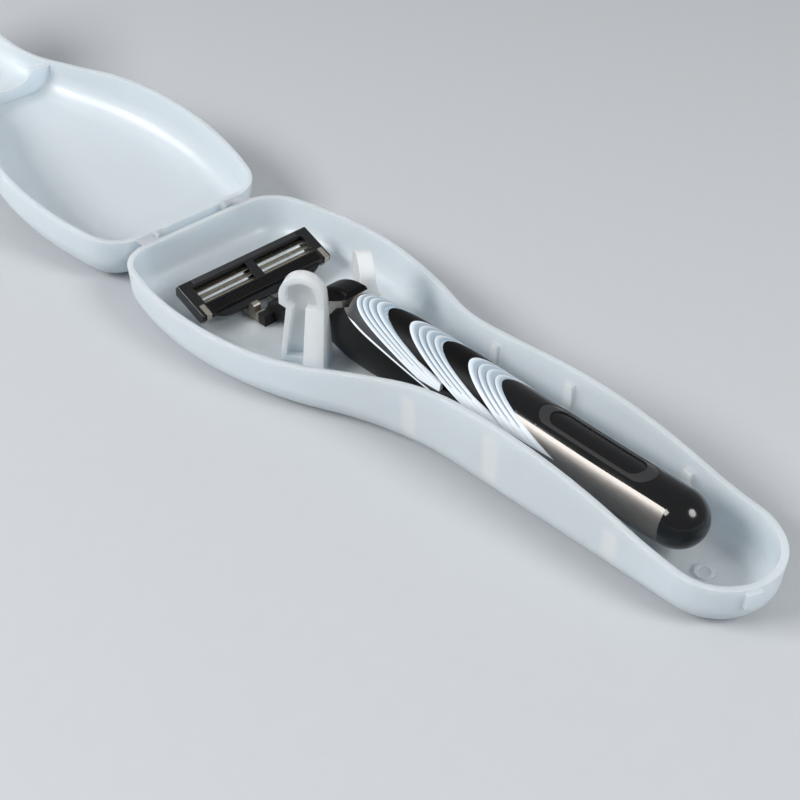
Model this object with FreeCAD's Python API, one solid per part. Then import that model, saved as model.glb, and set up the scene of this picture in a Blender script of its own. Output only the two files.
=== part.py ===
import FreeCAD, Part
import math
import os

V = FreeCAD.Vector
os.makedirs("parts", exist_ok=True)

# All sizes are in millimetres and all angles in degrees.
# Lengths along X are measured from the hinge axis and heights from the table.
# On export everything moves so that the origin is the middle of the base tray's underside.

# Case plan
hinge_gap = 1.4
head_x = 34.4
head_half = 29.5
head_radius = 90.0
corner_radius = 11.0
waist_radius = 76.0
handle_half = 13.4
tail_x = 174.4

# Case heights and walls
rim_hinge_z = 12.5
rim_crest_z = 19.5
rim_tail_z = 11.2
crest_x = 114.4
crest_radius = 120.0
rise_radius = 167.0
fall_radius = 80.0
closed_height = 26.8
wall = 1.5
floor_z = 1.6
base_edge_radius = 6.2
lid_edge_radius = 8.2
draft = 2.0
parting_gap = 0.3
open_angle = 170.0

# Hinge
knuckle_y = 10.6
knuckle_length = 2.4
knuckle_radius = 1.1
hinge_pin_radius = 0.5
hinge_clearance = 0.06
knuckle_play = 0.1

# Posts that hold the razor's neck
post_x = 54.5
post_y = 9.3
post_turn = 57.9
post_near_top_z = 24.9
post_far_top_z = 22.4
post_hook = 1.6
post_head_half = 5.25
post_foot_half = 5.9
post_thick = 3.6
post_rim = 1.5
post_web = 1.2
buttress_side = 1.0
buttress_top_z = 17.0
buttress_reach = 5.0

# Ribs, floor boss, closing nib and tongue
rib_xs = (93.5, 115.5, 146.5)
rib_width = 1.9
rib_proud = 1.3
rib_drop = 3.0
boss_x = 160.0
boss_radius = 2.1
boss_bore = 1.3
boss_height = 0.6
nib_width = 3.4
nib_height = 4.6
nib_proud = 0.6
nib_drop = 0.4
catch_turn = 24.0
tongue_width = 5.0
tongue_length = 5.0
tongue_thick = 1.2
tongue_gap = 0.25

# Saddle rib in the lid
saddle_x = 88.0
saddle_thick = 1.6
saddle_half = 8.0
saddle_z = 21.3

# Handle: evenly spaced stations with top height, underside height and half width
handle_start_x = 47.5
station_pitch = 9.5
handle_sections = (
    (7.4, 2.2, 2.4),
    (15.9, 1.9, 3.95),
    (20.0, 1.8, 6.6),
    (20.4, 2.0, 6.9),
    (20.3, 2.4, 6.9),
    (19.85, 2.95, 6.8),
    (19.25, 3.5, 6.65),
    (18.7, 4.05, 6.5),
    (18.25, 4.4, 6.4),
    (17.8, 4.6, 6.3),
    (17.5, 4.7, 6.25),
    (17.25, 4.75, 6.2),
)
skin = 1.6
core_clearance = 0.05
end_cap_length = 6.6

# Grip bands: where their front and back planes meet the top line, and the planes' slopes
grip_top_z = 20.3
band_fronts = (59.7, 80.4, 96.3)
band_backs = (72.5, 89.0, 103.2)
band_front_slopes = (14.0, 19.0, 22.6)
band_back_slopes = (13.9, 16.4, 17.4)
band_low_z = 13.0
ridges_per_band = 4
ridge_groove = 1.0
ridge_depth = 0.6
ridge_low_z = 15.2
first_band_end_x = 95.0
pad_edge = 0.6
underside_end_x = 114.0
piping_start = 41.4
piping_width = 2.6
piping_slope = 9.6
piping_high_z = 16.4
piping_low_z = 10.5

# Top strip and badge
strip_half = 4.3
strip_low_z = 12.5
badge_x = 132.0
badge_half_length = 14.4
badge_half_width = 3.3
badge_depth = 0.8
badge_clearance = 0.1
badge_field_half_length = 11.6
badge_field_half_width = 2.5
badge_sink = 0.3

# Neck: a straight bar sloping down from the handle to the cartridge
neck_x = 61.0
neck_z = 16.2
neck_slope = 26.0
neck_length = 20.6
neck_half_width = 3.2
neck_half_thick = 1.8
tang_length = 3.0
tang_half_width = 2.0
tang_low_w = -1.75
tang_high_w = -0.25
tip_length = 5.4
tip_half_width = 1.9
tip_half_thick = 1.3
seat_clearance = 0.05

# Release button, ejector and their spring, along the neck
button_back = -2.4
button_front = 9.4
button_height = 3.0
button_crown = 3.2
button_front_height = 1.6
button_rear_height = 1.5
button_round = 1.25
button_half_width = 3.2
button_lift = 0.08
button_travel = 2.5
button_pocket = 0.3
ejector_back = 2.6
ejector_front = 9.0
ejector_half_width = 1.2
ejector_sink = 2.4
ejector_pin_radius = 0.5
ejector_pin_length = 4.0
ejector_clearance = 0.12
spring_bore_radius = 1.0
button_spring_length = 5.0
spring_radius = 0.85
spring_wire = 0.35

# Cartridge, in its own frame: u along the slope, y across, w up from the middle of its thickness
cartridge_x = 24.5
cartridge_z = 7.2
cartridge_tilt = 22.8
cartridge_half_width = 20.2
cartridge_half_depth = 5.8
cartridge_back_w = -1.8
cartridge_face_w = 1.6
window_back_u = -3.2
window_front_u = 2.2
window_half = 17.2
bridge_half = 1.2
recess_u = 0.0
recess_w = -0.5
recess_play = 0.2
lip_u = 7.4
lip_half = 19.5
lip_round = 8.0
lip_low_w = 0.0
lip_high_w = 0.8
bridge_thick = 0.5
spine_thick = 0.8
blade_pitch = 1.8
blade_leg_u = -2.9
blade_sheet = 0.3
blade_leg_low_w = -0.9
blade_bend_w = 0.15
blade_reach = 1.45
blade_rise = 0.75
strip_back_u = -5.1
strip_front_u = -3.5
lube_half = 16.3
lube_low_w = 0.7
lube_high_w = 1.85
guard_back_u = 2.5
guard_front_u = 5.2
guard_low_w = 0.4
guard_base_w = 1.15
guard_high_w = 1.65
guard_fins_count = 5
guard_fin_thick = 0.28
insert_clearance = 0.04
clip_start_y = 17.9
clip_width = 1.4
clip_thick = 0.28
clip_back_u = 2.4

# Cartridge pivot, yoke and plunger
pivot_u = 0.5
pivot_w = -3.3
pivot_pin_radius = 0.8
pivot_clearance = 0.05
ear_radius = 1.5
ear_thick = 1.6
arm_y = 6.2
arm_thick = 2.0
arm_radius = 1.2
arm_low_radius = 1.0
arm_knee_x = 29.5
arm_knee_z = 2.9
arm_end_x = 37.0
hook_x = 33.1
hook_top_z = 5.2
hook_radius = 1.15
ear_gap = 0.25
lug_half = 1.4
lug_radius = 0.7
lug_drop = 1.1
yoke_length = 6.9
yoke_half_width = 5.2
yoke_half_thick = 2.4
yoke_round = 0.9
cross_back_x = 38.0
cross_front_x = 35.0
cross_low_z = 1.9
cross_high_z = 4.7
plunger_radius = 0.6
plunger_clearance = 0.06
plunger_end_x = 34.6
plunger_lug_gap = 0.05
plunger_boss_x = 33.2
plunger_boss_radius = 1.0
plunger_bore_radius = 0.8
plunger_spring_end_x = 37.3
plunger_spring_radius = 0.72

# Values worked out from the sizes above
handle_stations = tuple(
    (handle_start_x + station_pitch * k, (top + low) / 2.0, (top - low) / 2.0, half)
    for k, (top, low, half) in enumerate(handle_sections)
)
origin_x = (hinge_gap + tail_x) / 2.0
tan_draft = math.tan(math.radians(draft))
head_centre_y = head_half - head_radius
lid_high_z = closed_height + 4.0
neck_place = FreeCAD.Placement(V(neck_x, 0, neck_z), FreeCAD.Rotation(V(0, 1, 0), -neck_slope))
cartridge_place = FreeCAD.Placement(
    V(cartridge_x, 0, cartridge_z), FreeCAD.Rotation(V(0, 1, 0), cartridge_tilt)
)
pivot = cartridge_place.multVec(V(pivot_u, 0, pivot_w))


def box(x0, x1, y0, y1, z0, z1):
    """Block between two corners."""
    return Part.makeBox(x1 - x0, y1 - y0, z1 - z0, V(x0, y0, z0))


def rod(radius, start, end):
    """Round bar from one point to another."""
    return Part.makeCylinder(radius, (end - start).Length, start, end - start)


def polygon_y(points, y0, y1):
    """Prism with an outline in XZ, running from y0 to y1."""
    corners = [V(x, y0, z) for x, z in points]
    face = Part.Face(Part.makePolygon(corners + corners[:1]))
    return face.extrude(V(0, y1 - y0, 0))


def capsule_y(a, b, radius, y0, y1):
    """Round-ended link in XZ between two points, running from y0 to y1."""
    along = b - a
    side = V(-along.z, 0, along.x).normalize() * radius
    first = V(a.x, y0, a.z)
    second = V(b.x, y0, b.z)
    out = V(along).normalize() * radius
    edges = [
        Part.makeLine(first + side, second + side),
        Part.Arc(second + side, second + out, second - side).toShape(),
        Part.makeLine(second - side, first - side),
        Part.Arc(first - side, first - out, first + side).toShape(),
    ]
    return Part.Face(Part.Wire(edges)).extrude(V(0, y1 - y0, 0))


def fuse(shapes):
    """One clean solid from touching shapes."""
    joined = shapes[0].multiFuse(shapes[1:])
    return joined.removeSplitter()


def arc_about(centre, radius, start, end):
    """Arc about a centre from one direction to another, angles in radians."""
    mid = (start + end) / 2.0
    points = [
        V(centre.x + radius * math.cos(a), centre.y + radius * math.sin(a), centre.z)
        for a in (start, mid, end)
    ]
    return Part.Arc(*points).toShape()


def outline(inset, z):
    """Paddle-shaped case outline, moved inwards by the inset."""
    head = V(head_x, head_centre_y, z)
    corner_x = hinge_gap + corner_radius
    corner_y = head_centre_y + math.sqrt(
        (head_radius - corner_radius) ** 2 - (corner_x - head_x) ** 2
    )
    corner = V(corner_x, corner_y, z)
    waist_y = handle_half + waist_radius
    waist_x = head_x + math.sqrt(
        (head_radius + waist_radius) ** 2 - (waist_y - head_centre_y) ** 2
    )
    waist = V(waist_x, waist_y, z)
    turn_corner = math.atan2(corner.y - head.y, corner.x - head.x)
    turn_waist = math.atan2(waist.y - head.y, waist.x - head.x)
    tail = V(tail_x - handle_half, 0, z)
    half = handle_half - inset
    upper = [
        arc_about(corner, corner_radius - inset, math.pi, turn_corner),
        arc_about(head, head_radius - inset, turn_corner, turn_waist),
        arc_about(waist, waist_radius + inset, turn_waist + math.pi, 1.5 * math.pi),
        Part.makeLine(V(waist.x, half, z), V(tail.x, half, z)),
        arc_about(tail, half, math.pi / 2.0, 0.0),
    ]
    lower = [edge.mirror(V(0, 0, z), V(0, 1, 0)) for edge in upper]
    hinge = Part.makeLine(
        V(hinge_gap + inset, -corner.y, z), V(hinge_gap + inset, corner.y, z)
    )
    return Part.Wire(Part.__sortEdges__([hinge] + upper + lower))


def drafted(z0, z1, inset0, inset1, edge_z, radius):
    """Tapered paddle with one rounded edge."""
    body = Part.makeLoft([outline(inset0, z0), outline(inset1, z1)], True, True)
    rounded = [
        e for e in body.Edges
        if abs(e.BoundBox.ZMin - edge_z) < 1e-4 and abs(e.BoundBox.ZMax - edge_z) < 1e-4
    ]
    return body.makeFillet(radius, rounded)


def parting_block(shift, keep_low):
    """Block under or over the arched parting line, moved up by the shift."""
    rise = rise_radius - shift
    crest = crest_radius + shift
    fall = fall_radius - shift
    low = rim_hinge_z + shift
    end = rim_tail_z + shift
    top = V(crest_x, rim_crest_z - crest_radius, 0)
    reach_1 = rise_radius + crest_radius
    span_1 = reach_1 - (rim_crest_z - rim_hinge_z)
    start_x = crest_x - math.sqrt(reach_1 ** 2 - span_1 ** 2)
    reach_2 = fall_radius + crest_radius
    span_2 = reach_2 - (rim_crest_z - rim_tail_z)
    end_x = crest_x + math.sqrt(reach_2 ** 2 - span_2 ** 2)
    rise_centre = V(start_x, rim_hinge_z + rise_radius, 0)
    fall_centre = V(end_x, rim_tail_z + fall_radius, 0)
    turn_1 = math.atan2(rise_centre.y - top.y, rise_centre.x - top.x)
    turn_2 = math.atan2(fall_centre.y - top.y, fall_centre.x - top.x)
    limit = -20.0 if keep_low else lid_high_z
    x_min = -10.0
    x_max = tail_x + 20.0
    edges = [
        Part.makeLine(V(x_min, limit, 0), V(x_min, low, 0)),
        Part.makeLine(V(x_min, low, 0), V(start_x, low, 0)),
        arc_about(rise_centre, rise, -math.pi / 2.0, turn_1 - math.pi),
        arc_about(top, crest, turn_1, turn_2),
        arc_about(fall_centre, fall, turn_2 - math.pi, -math.pi / 2.0),
        Part.makeLine(V(end_x, end, 0), V(x_max, end, 0)),
        Part.makeLine(V(x_max, end, 0), V(x_max, limit, 0)),
        Part.makeLine(V(x_max, limit, 0), V(x_min, limit, 0)),
    ]
    face = Part.Face(Part.Wire(edges))
    face.rotate(V(0, 0, 0), V(1, 0, 0), 90)
    block = face.extrude(V(0, -120, 0))
    block.translate(V(0, 60, 0))
    return block


def base_shell():
    """Open tray with a rounded bottom edge."""
    high = rim_crest_z + 1.5
    lean = lambda z: (rim_hinge_z - z) * tan_draft
    outer = drafted(0.0, high, lean(0.0), lean(high), 0.0, base_edge_radius)
    inner = drafted(
        floor_z, high + 1.0, lean(floor_z) + wall, lean(high + 1.0) + wall, floor_z,
        base_edge_radius - wall,
    )
    return outer, inner


def lid_shell():
    """Cover in its shut position, with a rounded top edge."""
    low = rim_tail_z - 1.5
    lean = lambda z: (z - rim_hinge_z) * tan_draft
    ceiling = closed_height - wall
    outer = drafted(closed_height, low, lean(closed_height), lean(low), closed_height, lid_edge_radius)
    inner = drafted(
        ceiling, low - 1.0, lean(ceiling) + wall, lean(low - 1.0) + wall, ceiling,
        lid_edge_radius - wall,
    )
    return outer, inner


def post(top_z):
    """Near post: an arched plate with a hooked head, a recessed panel and a sloping buttress."""
    foot = floor_z - 0.6
    head = post_head_half
    head_z = top_z - head
    neck_low = head_z - 0.6 * head

    def arch(inset, low, hook):
        """Arched outline in YZ, whose head hangs over the leg by the hook."""
        top = head - inset
        bottom = post_foot_half - inset
        corners = [V(0, -bottom, low), V(0, -top + hook, neck_low), V(0, -top, neck_low + hook * 0.6)]
        edges = [
            Part.makeLine(corners[0], corners[1]),
            Part.makeLine(corners[1], corners[2]),
            Part.makeLine(corners[2], V(0, -top, head_z)),
            Part.Arc(V(0, -top, head_z), V(0, 0, head_z + top), V(0, top, head_z)).toShape(),
            Part.makeLine(V(0, top, head_z), V(0, bottom, low)),
            Part.makeLine(V(0, bottom, low), corners[0]),
        ]
        return Part.Face(Part.Wire(edges))

    plate = arch(0.0, foot, post_hook).extrude(V(post_thick, 0, 0))
    plate.translate(V(-post_thick / 2.0, 0, 0))
    panel = arch(post_rim, floor_z + post_rim, post_hook).extrude(V(post_thick, 0, 0))
    panel.translate(V(-post_thick / 2.0 + post_web, 0, 0))
    plate = plate.cut(panel)
    face_x = post_thick / 2.0
    web_x = post_web - face_x - 0.1
    brace = polygon_y(
        [(web_x, foot), (face_x + buttress_reach, foot), (face_x, buttress_top_z), (web_x, buttress_top_z)],
        buttress_side, post_foot_half + 1.0,
    )
    outline_prism = arch(0.0, foot, post_hook).extrude(V(post_thick + buttress_reach, 0, 0))
    outline_prism.translate(V(-face_x, 0, 0))
    standing = plate.fuse(brace.common(outline_prism))
    standing.rotate(V(0, 0, 0), V(0, 0, 1), -post_turn)
    standing.translate(V(post_x, -post_y, 0))
    return standing


def mirrored(shape):
    """The same shape on the far side."""
    return shape.mirror(V(0, 0, 0), V(0, 1, 0))


def rib_side(x):
    """Half width of the case's inside at a place along the narrow part or the waist."""
    waist_y = handle_half + waist_radius
    waist_x = head_x + math.sqrt(
        (head_radius + waist_radius) ** 2 - (waist_y - head_centre_y) ** 2
    )
    if x >= waist_x:
        return handle_half - wall
    return waist_y - math.sqrt((waist_radius + wall) ** 2 - (waist_x - x) ** 2)


def hinge_knuckles(y, for_lid):
    """Barrels of one hinge strap: two on the base with the pin, one on the lid between them."""
    third = knuckle_length / 3.0
    low = y - knuckle_length / 2.0
    axis_z = rim_hinge_z
    root = hinge_gap + wall * 0.6
    inner = knuckle_radius * 0.15
    if for_lid:
        y0 = low + third + knuckle_play / 2.0
        y1 = low + 2.0 * third - knuckle_play / 2.0
        barrel = rod(knuckle_radius, V(0, y0, axis_z), V(0, y1, axis_z))
        arm = box(0, root, y0, y1, axis_z + inner + parting_gap / 2.0, axis_z + knuckle_radius)
        hole = rod(hinge_pin_radius + hinge_clearance, V(0, y0 - 1, axis_z), V(0, y1 + 1, axis_z))
        return [barrel.fuse(arm).cut(hole)]
    pieces = [rod(hinge_pin_radius, V(0, low + 0.1, axis_z), V(0, low + knuckle_length - 0.1, axis_z))]
    for y0, y1 in ((low, low + third), (low + 2.0 * third, low + knuckle_length)):
        barrel = rod(knuckle_radius, V(0, y0, axis_z), V(0, y1, axis_z))
        arm = box(0, root, y0, y1, axis_z - knuckle_radius, axis_z - inner - parting_gap / 2.0)
        pieces.append(barrel.fuse(arm))
    return pieces


def catch_turned(shape):
    """Swing a piece of the catch round the tail to the near side."""
    turned = shape.copy()
    turned.rotate(V(tail_x - handle_half, 0, 0), V(0, 0, 1), -catch_turn)
    return turned


def base_tray():
    """The tray with everything moulded into it."""
    outer, inner = base_shell()
    tray = outer.cut(inner).common(parting_block(-parting_gap / 2.0, True))
    additions = [post(post_near_top_z), mirrored(post(post_far_top_z))]
    for x in rib_xs:
        half = rib_width / 2.0
        side = rib_side(x)
        for sign in (-1, 1):
            y0, y1 = sorted((sign * (side - rib_proud), sign * (side + wall * 0.5)))
            rib = box(x - half, x + half, y0, y1, floor_z - 0.5, rim_crest_z + 2.0)
            additions.append(rib.common(outer).common(parting_block(-rib_drop, True)))
    ring = rod(boss_radius, V(boss_x, 0, floor_z - 0.4), V(boss_x, 0, floor_z + boss_height))
    ring = ring.cut(rod(boss_bore, V(boss_x, 0, floor_z), V(boss_x, 0, floor_z + 5)))
    additions.append(ring)
    nib_top = rim_tail_z - nib_drop
    nib_low = nib_top - nib_height
    root_x = tail_x - wall * 0.6
    nib_x = tail_x + nib_proud
    nib = polygon_y(
        [(root_x, nib_top), (nib_x, nib_top - nib_proud), (nib_x, nib_low + nib_proud), (root_x, nib_low)],
        -nib_width / 2.0, nib_width / 2.0,
    )
    additions.append(catch_turned(nib).cut(inner))
    for y in (-knuckle_y, knuckle_y):
        additions += hinge_knuckles(y, False)
    return fuse([tray] + additions)


def lid():
    """The cover, built shut and then swung open."""
    outer, inner = lid_shell()
    cover = outer.cut(inner).common(parting_block(parting_gap / 2.0, False))
    half = saddle_thick / 2.0
    plate = box(saddle_x - half, saddle_x + half, -head_half, head_half, 0, closed_height - wall * 0.5)
    plate = plate.common(outer).common(parting_block(parting_gap / 2.0 + 0.8, False))
    notch = box(saddle_x - 5, saddle_x + 5, -saddle_half, saddle_half, 0, saddle_z - saddle_half * 0.55)
    arch = rod(saddle_half, V(saddle_x - 5, 0, 0), V(saddle_x + 5, 0, 0))
    squash = FreeCAD.Matrix()
    squash.A33 = 0.55
    arch = arch.transformGeometry(squash)
    arch.translate(V(0, 0, saddle_z - saddle_half * 0.55))
    saddle = plate.cut(notch.fuse(arch))
    inner_x = tail_x + nib_proud + tongue_gap
    outer_x = inner_x + tongue_thick
    low = rim_tail_z - tongue_length
    high = rim_tail_z + 2.4
    root_x = tail_x - wall * 0.7
    seat_z = rim_tail_z + parting_gap / 2.0
    tongue = polygon_y(
        [
            (root_x, seat_z), (inner_x, seat_z), (inner_x, low),
            (outer_x, low), (outer_x, high - 1.0), (root_x, high + 1.2),
        ],
        -tongue_width / 2.0, tongue_width / 2.0,
    )
    pieces = [saddle, catch_turned(tongue).cut(inner)]
    for y in (-knuckle_y, knuckle_y):
        pieces += hinge_knuckles(y, True)
    cover = fuse([cover] + pieces)
    cover.rotate(V(0, 0, rim_hinge_z), V(0, 1, 0), -open_angle)
    return cover


def section(x, z, half_height, half_width):
    """Oval cross-section of the handle."""
    oval = Part.Ellipse(V(x, 0, z - half_height), V(x, half_width, z), V(x, 0, z))
    return Part.Wire(oval.toShape())


def handle_body(inset):
    """Swelling handle form, moved inwards by the inset."""
    wires = [section(x, z, h - inset, b - inset) for x, z, h, b in handle_stations]
    return Part.makeLoft(wires, True, False)


def falls(start, slope, z):
    """Where a plane that falls towards the tail from the top line reaches a height."""
    return start + (grip_top_z - z) / math.tan(math.radians(slope))


def band_slab(start, start_slope, end, end_slope, low_z):
    """Slanted slab between two planes that fall towards the tail from the top line."""
    high_z = grip_top_z + 3.0
    points = [
        (falls(start, start_slope, high_z), high_z), (falls(end, end_slope, high_z), high_z),
        (falls(end, end_slope, low_z), low_z), (falls(start, start_slope, low_z), low_z),
    ]
    return polygon_y(points, -15, 15)


def handle_size(x):
    """Middle height, half height and half width of the handle at a place between two stations."""
    share = (x - handle_start_x) / station_pitch
    k = min(max(int(share), 0), len(handle_stations) - 2)
    share -= k
    first, second = handle_stations[k], handle_stations[k + 1]
    return [a + (b - a) * share for a, b in zip(first[1:], second[1:])]


def behind_edge(start, slope, shift):
    """Upright block behind the line in which a falling plane leaves the handle's surface."""
    points = []
    for j in range(9):
        y = -0.8 + 0.2 * j
        z, high, half = handle_size(start + 6.0 * y * y)
        top = z + high * math.sqrt(1.0 - y * y)
        points.append(V(falls(start, slope, top) + shift, y * half, 0))
    curve = Part.BSplineCurve()
    curve.interpolate(points)
    far = start + 60.0
    first, last = points[0], points[-1]
    edges = [
        curve.toShape(),
        Part.makeLine(last, V(far, last.y, 0)),
        Part.makeLine(V(far, last.y, 0), V(far, first.y, 0)),
        Part.makeLine(V(far, first.y, 0), first),
    ]
    return Part.Face(Part.Wire(edges)).extrude(V(0, 0, 40))


def grip_parts(shell, groove_ring):
    """Pale bands with their ridges, and the dark pads between them."""
    parts = {}
    zones = []
    for k, name in enumerate(("front", "middle", "rear")):
        front, back = band_fronts[k], band_backs[k]
        steep, slope = band_front_slopes[k], band_back_slopes[k]
        zone = band_slab(front, steep, back, slope, band_low_z)
        if k < 2:
            next_front, next_steep = band_fronts[k + 1], band_front_slopes[k + 1]
            zone = zone.common(band_slab(front - 1.0, steep, next_front, next_steep, band_low_z - 1.0))
        if k == 0:
            zone = zone.cut(box(first_band_end_x, first_band_end_x + 60.0, -15, 15, 0, 40))
        zones.append(zone)
        grooves = []
        for j in range(1, ridges_per_band):
            part = j / ridges_per_band
            middle = front + (back - front) * part
            lean = steep + (slope - steep) * part
            half = ridge_groove / 2.0
            grooves.append(band_slab(middle - half, lean, middle + half, lean, ridge_low_z))
        band = shell.common(zone)
        parts["grip_fan_" + name] = band.cut(groove_ring.common(Part.makeCompound(grooves)))
    for k, name in ((0, "front"), (1, "rear")):
        back, slope = band_backs[k], band_back_slopes[k]
        front, steep = band_fronts[k + 1], band_front_slopes[k + 1]
        room = band_slab(band_fronts[k], band_front_slopes[k], front, steep, band_low_z)
        room = room.cut(zones[k])
        if k == 1:
            rate = 1.0 / math.tan(math.radians(slope)) - 1.0 / math.tan(math.radians(steep))
            low = grip_top_z - (front - back) / rate + pad_edge
            room = room.common(box(back, back + 60.0, -15, 15, low, grip_top_z + 3.0))
        parts["grip_pad_" + name] = shell.common(room).common(behind_edge(back, slope, pad_edge))
    return parts


def handle_parts():
    """Core, covers, bands, pads, top strip and badge of the handle."""
    body = handle_body(0.0)
    hollow = handle_body(skin)
    shell = body.cut(hollow)
    groove_ring = body.cut(handle_body(ridge_depth))
    front_x = handle_stations[0][0]
    back_x = handle_stations[-1][0]
    parts = grip_parts(shell, groove_ring)
    low = band_low_z
    high = grip_top_z + 3.0
    nose_zone = [
        (front_x - 5, -5), (underside_end_x, -5), (underside_end_x, low),
        (falls(band_fronts[0], band_front_slopes[0], low), low),
        (falls(band_fronts[0], band_front_slopes[0], high), high), (front_x - 5, high),
    ]
    rear_zone = [
        (underside_end_x, -5), (back_x + 5, -5), (back_x + 5, high),
        (falls(band_backs[2], band_back_slopes[2], high), high),
        (falls(band_backs[2], band_back_slopes[2], low), low), (underside_end_x, low),
    ]
    nose = shell.common(polygon_y(nose_zone, -15, 15))
    rear = shell.common(polygon_y(rear_zone, -15, 15))
    strip_zone = box(front_x, back_x + 5, -strip_half, strip_half, strip_low_z, 40)
    parts["side_shell"] = rear.cut(strip_zone)
    strip = rear.common(strip_zone)
    parts["top_cover"] = strip.cut(body.cut(handle_body(badge_depth)).common(badge_prism(0.0)))
    plate = handle_body(badge_clearance).cut(handle_body(badge_depth)).common(badge_prism(badge_clearance))
    field = badge_prism_of(badge_field_half_length, badge_field_half_width)
    sink = body.cut(handle_body(badge_clearance + badge_sink)).common(field)
    parts["badge_plate"] = plate.cut(sink)
    piping = groove_ring.common(
        band_slab(piping_start, piping_slope, piping_start + piping_width, piping_slope, piping_low_z)
    )
    piping = piping.common(box(front_x - 5, back_x, -20, 20, piping_low_z, piping_high_z))
    for name, y0, y1 in (("near", -20, 0), ("far", 0, 20)):
        parts["piping_" + name] = piping.common(box(front_x - 5, back_x, y0, y1, 0, 40))
    grow = seat_clearance
    tang_hole = in_neck(box(
        -8.0, tang_length + grow, -tang_half_width - grow, tang_half_width + grow,
        tang_low_w - grow, tang_high_w + grow,
    ))
    neck_hole = in_neck(box(
        -neck_length, grow, -neck_half_width - grow, neck_half_width + grow,
        -neck_half_thick - grow, neck_half_thick + grow,
    ))
    pocket = in_neck(box(
        -button_front - button_pocket, -button_back + button_pocket,
        -button_half_width - button_pocket, button_half_width + button_pocket,
        0, button_height + neck_half_thick + 6.0,
    ))
    openings = Part.makeCompound([tang_hole, neck_hole, pocket])
    parts["nose_cover"] = nose.cut(openings).cut(piping)
    parts["grip_fan_front"] = parts["grip_fan_front"].cut(pocket)
    parts["handle_core"] = handle_body(skin + core_clearance).cut(openings)
    return parts


def badge_prism_of(half_length, half_width):
    """Upright round-ended prism about the middle of the badge."""
    run = half_length - half_width
    first = V(badge_x - run, 0, 0)
    second = V(badge_x + run, 0, 0)
    slot = capsule_y(first, second, half_width, 0, 12)
    slot.rotate(V(0, 0, 0), V(1, 0, 0), 90)
    slot.translate(V(0, 0, strip_low_z))
    return slot


def badge_prism(inset):
    """The badge's own outline, moved inwards by the inset."""
    return badge_prism_of(badge_half_length - inset, badge_half_width - inset)


def end_cap():
    """Rounded tail of the handle."""
    x, z, h, b = handle_stations[-1]
    wires = []
    for part in (0.0, 0.35, 0.65, 0.86, 0.96, 0.995):
        shrink = math.sqrt(1.0 - part * part)
        wires.append(section(x + end_cap_length * part, z, h * shrink, b * shrink))
    return Part.makeLoft(wires, True, False)


def in_neck(shape):
    """Move a shape from the neck's own frame, whose X runs up towards the handle, into place."""
    placed = shape.copy()
    placed.Placement = neck_place.multiply(placed.Placement)
    return placed


def neck():
    """Metal neck with its tang, its tip, the ejector channel and the spring bore."""
    bar = box(-neck_length, 0, -neck_half_width, neck_half_width, -neck_half_thick, neck_half_thick)
    long_edges = [e for e in bar.Edges if e.BoundBox.XLength > neck_length - 0.1]
    bar = bar.makeFillet(0.8, long_edges)
    tang = box(-0.5, tang_length, -tang_half_width, tang_half_width, tang_low_w, tang_high_w)
    tip = box(-neck_length - tip_length, -neck_length + 0.5, -tip_half_width, tip_half_width,
              -tip_half_thick, tip_half_thick)
    channel = box(
        -ejector_front - button_travel - ejector_clearance, -ejector_back + ejector_clearance,
        -ejector_half_width - ejector_clearance, ejector_half_width + ejector_clearance,
        neck_half_thick - ejector_sink - ejector_clearance, neck_half_thick + 1.0,
    )
    pin_w = neck_half_thick - ejector_sink + spring_bore_radius
    bore_end = -ejector_front - ejector_pin_length - button_spring_length
    bore = rod(spring_bore_radius, V(-ejector_front, 0, pin_w), V(bore_end, 0, pin_w))
    return in_neck(fuse([bar, tang, tip]).cut(channel).cut(bore))


def release_button():
    """Rounded button on the neck, arched along its length."""
    low = neck_half_thick + button_lift
    high = low + button_height
    front = low + button_front_height
    rear = low + button_rear_height
    x0 = -button_front
    x1 = -button_back
    edges = [
        Part.makeLine(V(x0, 0, low), V(x1, 0, low)),
        Part.makeLine(V(x1, 0, low), V(x1, 0, rear)),
        Part.Arc(V(x1, 0, rear), V(-button_crown, 0, high), V(x0, 0, front)).toShape(),
        Part.makeLine(V(x0, 0, front), V(x0, 0, low)),
    ]
    block = Part.Face(Part.Wire(edges)).extrude(V(0, 2.0 * button_half_width, 0))
    block.translate(V(0, -button_half_width, 0))
    crown = [
        e for e in block.Edges
        if e.BoundBox.ZMin > low + 0.5 and e.BoundBox.XLength > 5.0
    ]
    block = block.makeFillet(button_round, crown)
    return in_neck(block)


def ejector():
    """Bar under the button with the pin that meets the spring."""
    top = neck_half_thick + button_lift
    low = neck_half_thick - ejector_sink
    bar = box(-ejector_front, -ejector_back, -ejector_half_width, ejector_half_width, low, top)
    pin_w = low + spring_bore_radius
    pin = rod(ejector_pin_radius, V(-ejector_front + 0.5, 0, pin_w),
              V(-ejector_front - ejector_pin_length, 0, pin_w))
    return in_neck(bar.fuse(pin))


def button_spring():
    """Return spring in the neck's bore, plain because it is sealed in."""
    pin_w = neck_half_thick - ejector_sink + spring_bore_radius
    start = -ejector_front - ejector_pin_length
    coil = rod(spring_radius, V(start, 0, pin_w), V(start - button_spring_length, 0, pin_w))
    hole = rod(spring_radius - spring_wire, V(start + 1, 0, pin_w),
               V(start - button_spring_length - 1, 0, pin_w))
    return in_neck(coil.cut(hole))


def in_cartridge(shape):
    """Move a shape from the cartridge's own frame into place."""
    placed = shape.copy()
    placed.Placement = cartridge_place.multiply(placed.Placement)
    return placed


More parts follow.
